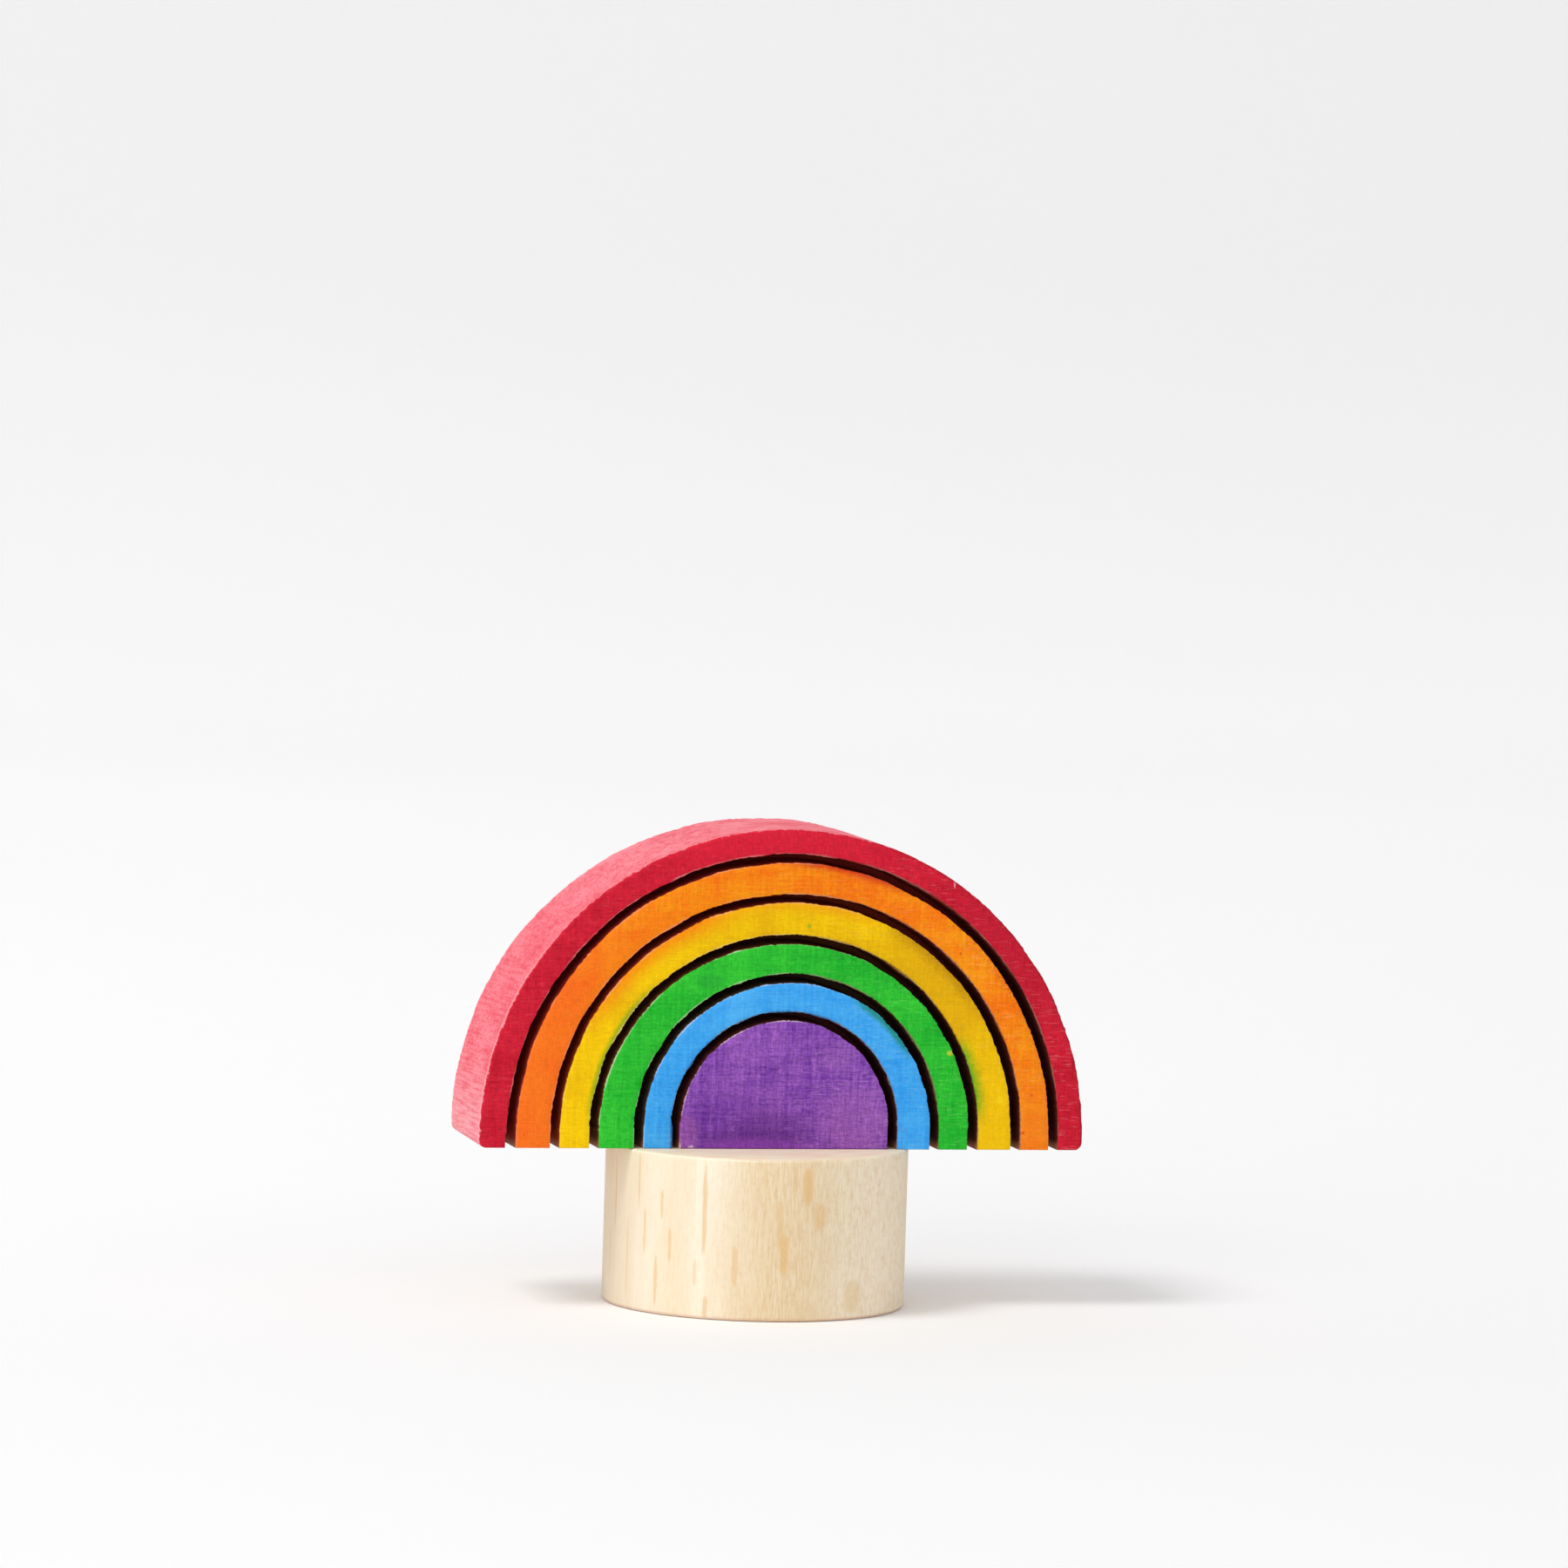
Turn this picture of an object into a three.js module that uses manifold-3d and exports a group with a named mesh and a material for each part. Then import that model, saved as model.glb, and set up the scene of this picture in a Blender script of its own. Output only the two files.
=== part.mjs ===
// Rainbow plug ornament: a half-round board of pale hardwood, its arched colour bands parted by
// burnt grooves, pinned and glued upright on a short round plug that pushes into a hole.
// Millimetres, +Z up. The origin is the centre of the plug's bottom face, the board's front faces -Y.

import * as THREE from "three";
import { mergeVertices } from "three/addons/utils/BufferGeometryUtils.js";
import Module from "manifold-3d";

// Driving dimensions of the board
const BOARD_THICKNESS = 10;
const VIOLET_RADIUS = 6.98;
const BLUE_WIDTH = 2;
const GREEN_WIDTH = 2.22;
const YELLOW_WIDTH = 2.12;
const ORANGE_WIDTH = 2.1;
const RED_WIDTH = 1.76;
const GROOVE_WIDTH = 0.63;
const GROOVE_DEPTH = 3.2;
const INNER_LEG = 1.54; // straight foot under the innermost arch
const OUTER_LEG = 0.72; // straight foot under the outer edge
const FOOT_CORNER = 0.5; // rounding of the board's two bottom corners
const EDGE_EASING = 0.25; // rounding of the front and back outer edges

// Driving dimensions of the plug, and where the board stands on it
const PLUG_DIAMETER = 20;
const PLUG_HEIGHT = 10.6;
const PLUG_TOP_BREAK = 0.2;
const PLUG_BOTTOM_BREAK = 0.35;
const BOARD_SHIFT_X = 0.9; // the board is set a little to the right of the plug's axis
const BOARD_SHIFT_Y = 1.28; // and a little behind it

// Hidden pin that joins the two
const PIN_DIAMETER = 4;
const PIN_LENGTH = 12;
const PIN_DEPTH_IN_PLUG = 6;
const PIN_END_BREAK = 0.4;
const PIN_CLEARANCE = 0.15; // glue film between the pin and its bores, on the radius
const PIN_END_GAP = 0.5; // spare depth above the pin for trapped glue

// Fineness of the round faces, and how far a cutter runs past the wood
const ARC_SEGMENTS = 56;
const CORNER_SEGMENTS = 4;
const EASING_SEGMENTS = 2;
const ROUND_SEGMENTS = 72;
const OVERCUT = 1;

// Stains and woods
const BAND_STAINS = ["#92569f", "#47a6e6", "#3fc23a", "#f0c212", "#f57a24", "#cd2639"];
const RIM_STAIN = "#ee7f8c";
const SCORCH = "#38190f";
const BARE_WOOD = "#f0d6ac";
const PIN_WOOD = "#e3c49a";

// The bands from the middle outwards, and the inner radius of the groove around each but the last
const BAND_WIDTHS = [VIOLET_RADIUS, BLUE_WIDTH, GREEN_WIDTH, YELLOW_WIDTH, ORANGE_WIDTH, RED_WIDTH];
const grooveRadii = [];
let boardRadius = BAND_WIDTHS[0];
for (const width of BAND_WIDTHS.slice(1)) {
  grooveRadii.push(boardRadius);
  boardRadius += GROOVE_WIDTH + width;
}

const wasm = await Module();
wasm.setup();

// A closed three.js geometry as a solid that can be cut
function solid(geometry) {
  const bare = geometry.clone();
  bare.deleteAttribute("normal");
  bare.deleteAttribute("uv");
  const merged = mergeVertices(bare, 1e-4);
  return new wasm.Manifold(
    new wasm.Mesh({
      numProp: 3,
      vertProperties: new Float32Array(merged.attributes.position.array),
      triVerts: new Uint32Array(merged.index.array),
    }),
  );
}

// A cut solid as a flat-shaded geometry
function geometryOf(cutSolid) {
  const { vertProperties, triVerts } = cutSolid.getMesh();
  const indexed = new THREE.BufferGeometry();
  indexed.setAttribute("position", new THREE.BufferAttribute(vertProperties, 3));
  indexed.setIndex(new THREE.BufferAttribute(triVerts, 1));
  const flat = indexed.toNonIndexed();
  flat.computeVertexNormals();
  return flat;
}

// Each arch is a half circle on two straight feet. The feet shorten from the middle outwards.
function legAt(radius) {
  const share = (radius - VIOLET_RADIUS) / (boardRadius - VIOLET_RADIUS);
  return INNER_LEG + (OUTER_LEG - INNER_LEG) * share;
}

// True where a point of the board's face lies under the arch of this radius
function isUnderArch(x, z, radius) {
  const rise = Math.max(0, z - legAt(radius));
  return Math.hypot(x, rise) < radius;
}

// The board's outline, seen from the front: bottom edge, rounded foot corners, outer arch
function boardOutline() {
  const leg = legAt(boardRadius);
  const corner = Math.min(FOOT_CORNER, leg);
  const outline = new THREE.Shape();
  outline.moveTo(corner - boardRadius, 0);
  outline.lineTo(boardRadius - corner, 0);
  addArc(outline, boardRadius - corner, corner, corner, -90, 0, CORNER_SEGMENTS);
  addArc(outline, 0, leg, boardRadius, 0, 180, ARC_SEGMENTS);
  addArc(outline, corner - boardRadius, corner, corner, 180, 270, CORNER_SEGMENTS);
  return outline;
}

// Adds an arc to an outline as a run of short straight steps, each end point included once
function addArc(outline, x, z, radius, fromDegrees, toDegrees, segments) {
  for (let step = 0; step <= segments; step += 1) {
    const angle = THREE.MathUtils.degToRad(THREE.MathUtils.lerp(fromDegrees, toDegrees, step / segments));
    const pointX = x + radius * Math.cos(angle);
    const pointZ = z + radius * Math.sin(angle);
    if (outline.currentPoint.distanceTo(new THREE.Vector2(pointX, pointZ)) > 1e-6) {
      outline.lineTo(pointX, pointZ);
    }
  }
}

// Stands a shape drawn in X and Z upright, with its thickness along Y from yFront to yBack
function standUpright(outline, yFront, yBack, easing = 0) {
  const geometry = new THREE.ExtrudeGeometry(outline, {
    depth: yBack - yFront - 2 * easing,
    bevelEnabled: easing > 0,
    bevelThickness: easing,
    bevelSize: easing,
    bevelOffset: -easing,
    bevelSegments: EASING_SEGMENTS,
    steps: 1,
  });
  geometry.translate(0, 0, easing - yBack);
  return geometry.rotateX(Math.PI / 2);
}

// The strip that the burning beam takes out around one band, from its feet over the top
function grooveOutline(radius) {
  const leg = legAt(radius);
  const outer = radius + GROOVE_WIDTH;
  const outline = new THREE.Shape();
  outline.moveTo(radius, -OVERCUT);
  outline.lineTo(outer, -OVERCUT);
  addArc(outline, 0, leg, outer, 0, 180, ARC_SEGMENTS);
  outline.lineTo(-outer, -OVERCUT);
  outline.lineTo(-radius, -OVERCUT);
  addArc(outline, 0, leg, radius, 180, 0, ARC_SEGMENTS);
  return outline;
}

// The blind bore for the pin, in the board's bottom edge
function boardBore() {
  const depth = PIN_LENGTH - PIN_DEPTH_IN_PLUG + PIN_END_GAP;
  const radius = PIN_DIAMETER / 2 + PIN_CLEARANCE;
  const bore = new THREE.CylinderGeometry(radius, radius, depth + OVERCUT, ROUND_SEGMENTS);
  bore.rotateX(Math.PI / 2);
  return bore.translate(-BOARD_SHIFT_X, -BOARD_SHIFT_Y, (depth - OVERCUT) / 2);
}

// Colours each face of the board: stain on the bands, scorch in the grooves, thin stain on the rim
function stainBoard(geometry) {
  const position = geometry.getAttribute("position");
  const colours = new Float32Array(position.count * 3);
  const face = new THREE.Triangle();
  const centre = new THREE.Vector3();
  const normal = new THREE.Vector3();
  for (let first = 0; first < position.count; first += 3) {
    face.setFromAttributeAndIndices(position, first, first + 1, first + 2);
    face.getMidpoint(centre);
    face.getNormal(normal);
    const colour = new THREE.Color(faceStain(centre, normal));
    for (let corner = 0; corner < 3; corner += 1) {
      colour.toArray(colours, (first + corner) * 3);
    }
  }
  geometry.setAttribute("color", new THREE.BufferAttribute(colours, 3));
  return geometry;
}

function faceStain(centre, normal) {
  const isOnFace = Math.abs(normal.y) > 0.9 && Math.abs(centre.y) > BOARD_THICKNESS / 2 - EDGE_EASING;
  const band = grooveRadii.findIndex((radius) => isUnderArch(centre.x, centre.z, radius + GROOVE_WIDTH / 2));
  if (isOnFace) {
    return BAND_STAINS[band < 0 ? BAND_STAINS.length - 1 : band];
  }
  const isBottom = normal.z < -0.9 && centre.z < EDGE_EASING;
  if (isBottom) {
    return BARE_WOOD;
  }
  return isUnderArch(centre.x, centre.z, boardRadius - RED_WIDTH / 2) ? SCORCH : RIM_STAIN;
}

// The board: one thickness of wood, grooved on both faces and bored for the pin
function makeRainbowBoard() {
  const half = BOARD_THICKNESS / 2;
  let board = solid(standUpright(boardOutline(), -half, half, EDGE_EASING));
  for (const radius of grooveRadii) {
    const outline = grooveOutline(radius);
    board = board.subtract(solid(standUpright(outline, -half - OVERCUT, GROOVE_DEPTH - half)));
    board = board.subtract(solid(standUpright(outline, half - GROOVE_DEPTH, half + OVERCUT)));
  }
  board = board.subtract(solid(boardBore()));
  const material = new THREE.MeshStandardMaterial({ vertexColors: true, roughness: 0.62, metalness: 0 });
  const mesh = new THREE.Mesh(stainBoard(geometryOf(board)), material);
  mesh.name = "rainbow_board";
  mesh.position.set(BOARD_SHIFT_X, BOARD_SHIFT_Y, PLUG_HEIGHT);
  return mesh;
}

// Turns a profile of [radius, height] points, which starts and ends on the axis, about +Z
function turned(profile) {
  const points = profile.map(([radius, height]) => new THREE.Vector2(radius, height));
  return new THREE.LatheGeometry(points, ROUND_SEGMENTS).rotateX(Math.PI / 2);
}

// The plug: a slice of round rod with broken edges and a blind bore in its top
function makeBaseDowel() {
  const radius = PLUG_DIAMETER / 2;
  const boreRadius = PIN_DIAMETER / 2 + PIN_CLEARANCE;
  const boreFloor = PLUG_HEIGHT - PIN_DEPTH_IN_PLUG;
  const geometry = turned([
    [0, 0],
    [radius - PLUG_BOTTOM_BREAK, 0],
    [radius, PLUG_BOTTOM_BREAK],
    [radius, PLUG_HEIGHT - PLUG_TOP_BREAK],
    [radius - PLUG_TOP_BREAK, PLUG_HEIGHT],
    [boreRadius, PLUG_HEIGHT],
    [boreRadius, boreFloor],
    [0, boreFloor],
  ]);
  const material = new THREE.MeshStandardMaterial({ color: BARE_WOOD, roughness: 0.7, metalness: 0 });
  const mesh = new THREE.Mesh(geometry, material);
  mesh.name = "base_dowel";
  return mesh;
}

// The pin: stands on the floor of the plug's bore and reaches up into the board
function makeJointPin() {
  const radius = PIN_DIAMETER / 2;
  const geometry = turned([
    [0, 0],
    [radius - PIN_END_BREAK, 0],
    [radius, PIN_END_BREAK],
    [radius, PIN_LENGTH - PIN_END_BREAK],
    [radius - PIN_END_BREAK, PIN_LENGTH],
    [0, PIN_LENGTH],
  ]);
  const material = new THREE.MeshStandardMaterial({ color: PIN_WOOD, roughness: 0.75, metalness: 0 });
  const mesh = new THREE.Mesh(geometry, material);
  mesh.name = "joint_pin";
  mesh.position.z = PLUG_HEIGHT - PIN_DEPTH_IN_PLUG;
  return mesh;
}

const rainbowOrnament = new THREE.Group();
rainbowOrnament.add(makeRainbowBoard(), makeBaseDowel(), makeJointPin());

export default rainbowOrnament;
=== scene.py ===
# %% [markdown]
# # A stained wooden rainbow on a plug
# The object is a half-round board of pale hardwood. Arched grooves are burnt into it, and the bands
# between them are stained by hand in rainbow colours. It stands on a slice of round rod that plugs
# into a hole. We could draw all of it by eye, but the packed solids already have the right sizes, so
# we load them first and place every later piece by them.

# %% Load the frame
import math
import bmesh
import bpy
import numpy as np
from mathutils import Matrix, Vector


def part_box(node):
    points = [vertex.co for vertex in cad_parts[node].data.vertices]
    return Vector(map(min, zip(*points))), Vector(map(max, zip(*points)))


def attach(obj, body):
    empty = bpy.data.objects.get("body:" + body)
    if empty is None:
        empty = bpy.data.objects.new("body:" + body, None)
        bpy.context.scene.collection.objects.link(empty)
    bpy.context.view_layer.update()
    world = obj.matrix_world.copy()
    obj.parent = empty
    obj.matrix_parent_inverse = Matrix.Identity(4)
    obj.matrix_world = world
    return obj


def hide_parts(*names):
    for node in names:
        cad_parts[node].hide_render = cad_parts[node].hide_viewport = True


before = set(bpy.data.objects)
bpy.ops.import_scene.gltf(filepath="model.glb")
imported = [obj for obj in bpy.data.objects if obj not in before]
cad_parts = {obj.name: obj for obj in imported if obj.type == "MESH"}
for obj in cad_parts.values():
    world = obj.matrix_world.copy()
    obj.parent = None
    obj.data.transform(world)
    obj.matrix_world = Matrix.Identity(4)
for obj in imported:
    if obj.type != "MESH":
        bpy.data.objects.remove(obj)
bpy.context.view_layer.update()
MM = 0.001
board_low, board_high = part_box("rainbow_board")
plug_low, plug_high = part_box("base_dowel")
pin_low, pin_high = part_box("joint_pin")
print("board", [round(v / MM, 2) for v in board_high - board_low], "mm")
print("plug", [round(v / MM, 2) for v in plug_high - plug_low], "mm")

# %% [markdown]
# ## Camera
# The picture was taken from a little to the left and a little above, with a long lens that leans
# by under two degrees. A camera that tracks a target would be quick, but it would hide the lean. So
# we write its place and its three turns as plain numbers and build its axes from them.

# %% Camera
CAMERA_PLACE = Vector((-124.2, -536.0, 73.9)) * MM
CAMERA_YAW = math.radians(13.155)
CAMERA_PITCH = math.radians(4.108)
CAMERA_ROLL = math.radians(-1.770)
LENS_MM = 192.3
SENSOR_MM = 36.0


def place_object(name, data):
    """A new object for a mesh, a lamp or a camera, linked into the scene."""
    made = bpy.data.objects.new(name, data)
    bpy.context.collection.objects.link(made)
    return made


def camera_axes(yaw, pitch, roll):
    """The camera's right, up and backward directions."""
    level = math.cos(pitch)
    forward = Vector((math.sin(yaw) * level, math.cos(yaw) * level, -math.sin(pitch)))
    level_right = Vector((math.cos(yaw), -math.sin(yaw), 0.0))
    level_down = forward.cross(level_right)
    right = math.cos(roll) * level_right + math.sin(roll) * level_down
    down = math.cos(roll) * level_down - math.sin(roll) * level_right
    return right, -down, -forward


lens = bpy.data.cameras.new("long_lens")
lens.lens = LENS_MM
lens.sensor_width = SENSOR_MM
camera = place_object("camera", lens)
turn = Matrix(camera_axes(CAMERA_YAW, CAMERA_PITCH, CAMERA_ROLL)).transposed()
camera.matrix_world = Matrix.Translation(CAMERA_PLACE) @ turn.to_4x4()
bpy.context.scene.camera = camera
print("camera stands", round(CAMERA_PLACE.length, 3), "m from the plug")

# %% [markdown]
# ## Colours as they are seen
# A maker names a colour as it looks on a screen, with parts from 0 to 255. A shader works in linear
# light instead. We could type linear numbers, but nobody can picture them, so one helper converts.

# %% Colours


def srgb(red, green, blue):
    """A colour given from 0 to 255, as the linear colour that a shader works with."""
    linear = []
    for part in (red, green, blue):
        share = part / 255
        linear.append(share / 12.92 if share <= 0.04045 else ((share + 0.055) / 1.055) ** 2.4)
    return (*linear, 1.0)


def grey(share):
    """A mask value, written as a colour for a ramp."""
    return (share, share, share, 1.0)


print("a part of 128 is", round(srgb(128, 128, 128)[0], 3), "in linear light")

# %% [markdown]
# ## Short calls for shader nodes
# A procedural material is a chain of small sums. Wired by hand, each sum takes four lines. This
# helper makes it one call: a socket given as a value is linked, and a plain number or colour is set
# on the input.

# %% Node helper


class Wiring:
    """Adds nodes to one node tree and wires them up."""

    def __init__(self, tree):
        self.tree = tree

    def put(self, socket, value):
        if isinstance(value, bpy.types.NodeSocket):
            self.tree.links.new(value, socket)
        else:
            socket.default_value = value

    def node(self, kind, **settings):
        made = self.tree.nodes.new(kind)
        for name, value in settings.items():
            setattr(made, name, value)
        return made

    def math(self, operation, first, second=0.0):
        made = self.node("ShaderNodeMath", operation=operation)
        self.put(made.inputs[0], first)
        self.put(made.inputs[1], second)
        return made.outputs[0]

    def add(self, first, second):
        return self.math("ADD", first, second)

    def minus(self, first, second):
        return self.math("SUBTRACT", first, second)

    def times(self, product, *others):
        for other in others:
            product = self.math("MULTIPLY", product, other)
        return product

    def length(self, x, z):
        return self.math("SQRT", self.add(self.times(x, x), self.times(z, z)))

    def step(self, value, low, high):
        """Rises smoothly from 0 at low to 1 at high, or falls where low is the larger."""
        made = self.node("ShaderNodeMapRange", interpolation_type="SMOOTHSTEP")
        ends = (0.0, 1.0) if low < high else (1.0, 0.0)
        for socket, number in zip(made.inputs[1:5], (min(low, high), max(low, high), *ends)):
            socket.default_value = number
        self.put(made.inputs[0], value)
        return made.outputs[0]

    def spread(self, value, low, high):
        """Stretches a value of 0 to 1 to the range from low to high."""
        made = self.node("ShaderNodeMapRange")
        made.inputs[3].default_value = low
        made.inputs[4].default_value = high
        self.put(made.inputs[0], value)
        return made.outputs[0]

    def mix(self, share, first, second, blend="MIX"):
        made = self.node("ShaderNodeMix", data_type="RGBA", blend_type=blend)
        self.put(made.inputs[0], share)
        self.put(made.inputs[6], first)
        self.put(made.inputs[7], second)
        return made.outputs[2]

    def vector(self, operation, vector, numbers):
        made = self.node("ShaderNodeVectorMath", operation=operation)
        self.put(made.inputs[0], vector)
        made.inputs[1].default_value = numbers
        return made.outputs[0]

    def noise(self, vector, scale, detail=2.0, roughness=0.5):
        """Cloudy noise around 0.5, with its own waves to the millimetre on each axis."""
        made = self.node("ShaderNodeTexNoise")
        made.inputs["Scale"].default_value = 1.0
        made.inputs["Detail"].default_value = detail
        made.inputs["Roughness"].default_value = roughness
        self.put(made.inputs["Vector"], self.vector("MULTIPLY", vector, scale))
        return made.outputs["Fac"]

    def noises(self, vector, table):
        return {name: self.noise(vector, *setting) for name, setting in table.items()}

    def parts(self, vector):
        made = self.node("ShaderNodeSeparateXYZ")
        self.put(made.inputs[0], vector)
        return tuple(made.outputs)

    def joined(self, x, y, z):
        made = self.node("ShaderNodeCombineXYZ")
        for socket, value in zip(made.inputs, (x, y, z)):
            self.put(socket, value)
        return made.outputs[0]

    def ramp(self, value, stops, interpolation="LINEAR"):
        made = self.node("ShaderNodeValToRGB")
        made.color_ramp.interpolation = interpolation
        elements = made.color_ramp.elements
        while len(elements) < len(stops):
            elements.new(1.0)
        for element, (place, colour) in zip(elements, stops):
            element.position = place
            element.color = colour
        self.put(made.inputs[0], value)
        return made.outputs[0]

    def group(self, tree, place):
        made = self.node("ShaderNodeGroup", node_tree=tree)
        self.put(made.inputs["Position"], place)
        return dict(made.outputs.items())


print("node helper has", sum(1 for name in vars(Wiring) if name[0] != "_"), "calls")

# %% [markdown]
# ## Groups and materials
# An effect that several materials share goes into a node group, like a stamp that is used again. Copies
# by hand would all have to be changed one by one. The second helper starts a material and hands out
# its position in millimetres, so no texture is stretched.

# %% Groups and materials


def new_group(name, outputs):
    """A node group that takes a position and puts out numbers, and the wiring inside it."""
    tree = bpy.data.node_groups.new(name, "ShaderNodeTree")
    tree.interface.new_socket("Position", in_out="INPUT", socket_type="NodeSocketVector")
    for output in outputs:
        tree.interface.new_socket(output, in_out="OUTPUT", socket_type="NodeSocketFloat")
    wiring = Wiring(tree)
    place = wiring.node("NodeGroupInput").outputs["Position"]
    return wiring, place, wiring.node("NodeGroupOutput").inputs


def new_material(name):
    """A material with a bare Principled shader, its wiring, and the position in millimetres."""
    material = bpy.data.materials.new(name)
    material.use_nodes = True
    wiring = Wiring(material.node_tree)
    shader = material.node_tree.nodes["Principled BSDF"]
    place = wiring.node("ShaderNodeTexCoord").outputs["Object"]
    return material, wiring, shader, wiring.vector("MULTIPLY", place, (1 / MM,) * 3)


print("groups and materials can be made")

# %% [markdown]
# ## White sweep
# The object stands on a white sweep, a sheet that curves up behind it, so the picture has no horizon.
# A floor and a wall would show a line where they meet. One strip of faces that bends is enough.

# %% White sweep
SWEEP_HALF_WIDTH = 1.6
SWEEP_FRONT = -1.2
SWEEP_BACK = 1.1
SWEEP_RADIUS = 0.6
SWEEP_HEIGHT = 1.8
SWEEP_STEPS = 24


def make_sweep():
    """A floor that bends up into a wall, as one strip of faces."""
    section = [(SWEEP_FRONT, 0.0)]
    for step in range(SWEEP_STEPS + 1):
        angle = math.pi / 2 * step / SWEEP_STEPS
        rise = SWEEP_RADIUS * (1 - math.cos(angle))
        section.append((SWEEP_BACK - SWEEP_RADIUS * (1 - math.sin(angle)), rise))
    section.append((SWEEP_BACK, SWEEP_HEIGHT))
    vertices = [(side * SWEEP_HALF_WIDTH, y, z) for y, z in section for side in (-1, 1)]
    faces = [(2 * k, 2 * k + 1, 2 * k + 3, 2 * k + 2) for k in range(len(section) - 1)]
    mesh = bpy.data.meshes.new("white_sweep")
    mesh.from_pydata(vertices, [], faces)
    mesh.shade_smooth()
    return place_object("white_sweep", mesh)


sweep = make_sweep()
print("sweep reaches", SWEEP_BACK, "m behind the object")

# %% [markdown]
# ### Its paper
# The paper is nearly white by the object, whiter behind it and a little greyer high up. More lamps would
# change the object too. So a ramp over the distance behind the plug adds a glow that only the camera
# and reflections see, and the floor still takes the shadow.

# %% Sweep paper
PAPER_TONES = (srgb(244, 244, 246), srgb(247, 247, 247))
PAPER_CLOUDS = (0.004, 0.004, 0.004)
GLOW_START = -100.0
GLOW_REACH = 1000.0
GLOW_STOPS = (
    # millimetres behind the plug, share of extra white
    (-60, 0.050),
    (-28, 0.056),
    (13, 0.074),
    (60, 0.104),
    (114, 0.120),
    (260, 0.158),
    (423, 0.195),
    (570, 0.207),
    (672, 0.180),
    (764, 0.152),
)


def make_paper():
    """Matt white paper with a glow that lights nothing."""
    material, wiring, shader, place = new_material("sweep_paper")
    colour = wiring.mix(wiring.noise(place, PAPER_CLOUDS), *PAPER_TONES)
    wiring.put(shader.inputs["Base Color"], colour)
    _, behind, _ = wiring.parts(place)
    reach = wiring.times(wiring.minus(behind, GLOW_START), 1 / GLOW_REACH)
    stops = [((depth - GLOW_START) / GLOW_REACH, grey(share)) for depth, share in GLOW_STOPS]
    path = wiring.node("ShaderNodeLightPath").outputs
    seen = wiring.math("MAXIMUM", path["Is Camera Ray"], path["Is Glossy Ray"])
    seen = wiring.math("MAXIMUM", seen, path["Is Transmission Ray"])
    wiring.put(shader.inputs["Emission Color"], wiring.times(wiring.ramp(reach, stops), seen))
    shader.inputs["Emission Strength"].default_value = 1.0
    shader.inputs["Roughness"].default_value = 1.0
    shader.inputs["Specular IOR Level"].default_value = 0.0
    return material


sweep.data.materials.append(make_paper())
print("paper glow has", len(GLOW_STOPS), "stops")

# %% [markdown]
# ## Lamps and sky
# A soft lamp from the upper left lights the rim of the arch and throws a faint shadow to the right. A
# larger one stands by the camera, and the sky fills the rest. A picture of a studio could light it all,
# but plain lamps keep a level at which a colour comes out about as it is written.

# %% Lamps and sky
LAMPS = (
    # name, place in metres, size, watts, colour
    ("key_lamp", (-0.50, -0.22, 0.85), 0.30, 3.7, (1.0, 0.992, 0.975)),
    ("front_lamp", (-0.65, -0.95, 0.36), 0.9, 3.1, (1.0, 1.0, 1.0)),
)
LAMP_AIM = Vector((0.0, 0.0, 0.015))
SKY_STRENGTH = 0.60

for name, lamp_place, size, watts, lamp_colour in LAMPS:
    lamp = bpy.data.lights.new(name, "AREA")
    lamp.size = size
    lamp.energy = watts
    lamp.color = lamp_colour
    holder = place_object(name, lamp)
    holder.location = lamp_place
    holder.rotation_euler = (LAMP_AIM - Vector(lamp_place)).to_track_quat("-Z", "Y").to_euler()
sky = bpy.data.worlds.new("studio_sky")
sky.use_nodes = True
sky_light = sky.node_tree.nodes["Background"]
sky_light.inputs["Color"].default_value = grey(1.0)
sky_light.inputs["Strength"].default_value = SKY_STRENGTH
bpy.context.scene.world = sky
bpy.context.scene.view_settings.view_transform = "Standard"
print(len(LAMPS), "lamps and a sky of strength", SKY_STRENGTH)

# %% [markdown]
# ## Sizes of the board
# The packed solid gives the board's outer sizes. Its bands and grooves could be measured on the mesh,
# but they are simpler to repeat from the design, in millimetres from the middle outwards. Every arch
# is a half circle on two straight feet, which get lower towards the rim.

# %% Board sizes
VIOLET_RADIUS = 6.98
BAND_WIDTHS = (2.0, 2.22, 2.12, 2.1, 1.76)
GROOVE_WIDTH = 0.63
GROOVE_DEPTH = 3.2
INNER_LEG = 1.54
OUTER_LEG = 0.72
GROOVES = range(len(BAND_WIDTHS))
board_size = (board_high - board_low) / MM
board_middle = (board_low + board_high) / 2
board_centre = Vector((board_middle.x, board_middle.y, board_low.z)) / MM
board_radius = board_size.x / 2
groove_radii = [VIOLET_RADIUS + sum(BAND_WIDTHS[:k]) + k * GROOVE_WIDTH for k in GROOVES]


def leg_at(radius):
    """Height of the straight foot under the arch of this radius."""
    share = (radius - VIOLET_RADIUS) / (board_radius - VIOLET_RADIUS)
    return INNER_LEG + (OUTER_LEG - INNER_LEG) * share


print("grooves start at", [round(radius, 2) for radius in groove_radii])
print("the rim is at", round(board_radius, 2))

# %% [markdown]
# ## Wandering edges
# The real board is cut and grooved by a burning beam that shakes a little, so each edge is slightly
# angular. A plain boolean would give perfect circles. Instead we sweep one cross-section along the
# arch, from the right foot to the left, and let every edge wander by a few hundredths of a millimetre.

# %% Wandering edges
EDGE_KNOTS = 40
EDGE_WANDER = 0.03
EDGE_FUZZ = 0.017
ARC_STEPS = 280
LEG_SHARES = np.array((0.0, 0.05, 0.12, 0.22, 0.36, 0.55, 0.78))
chance = np.random.default_rng(12)


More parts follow.
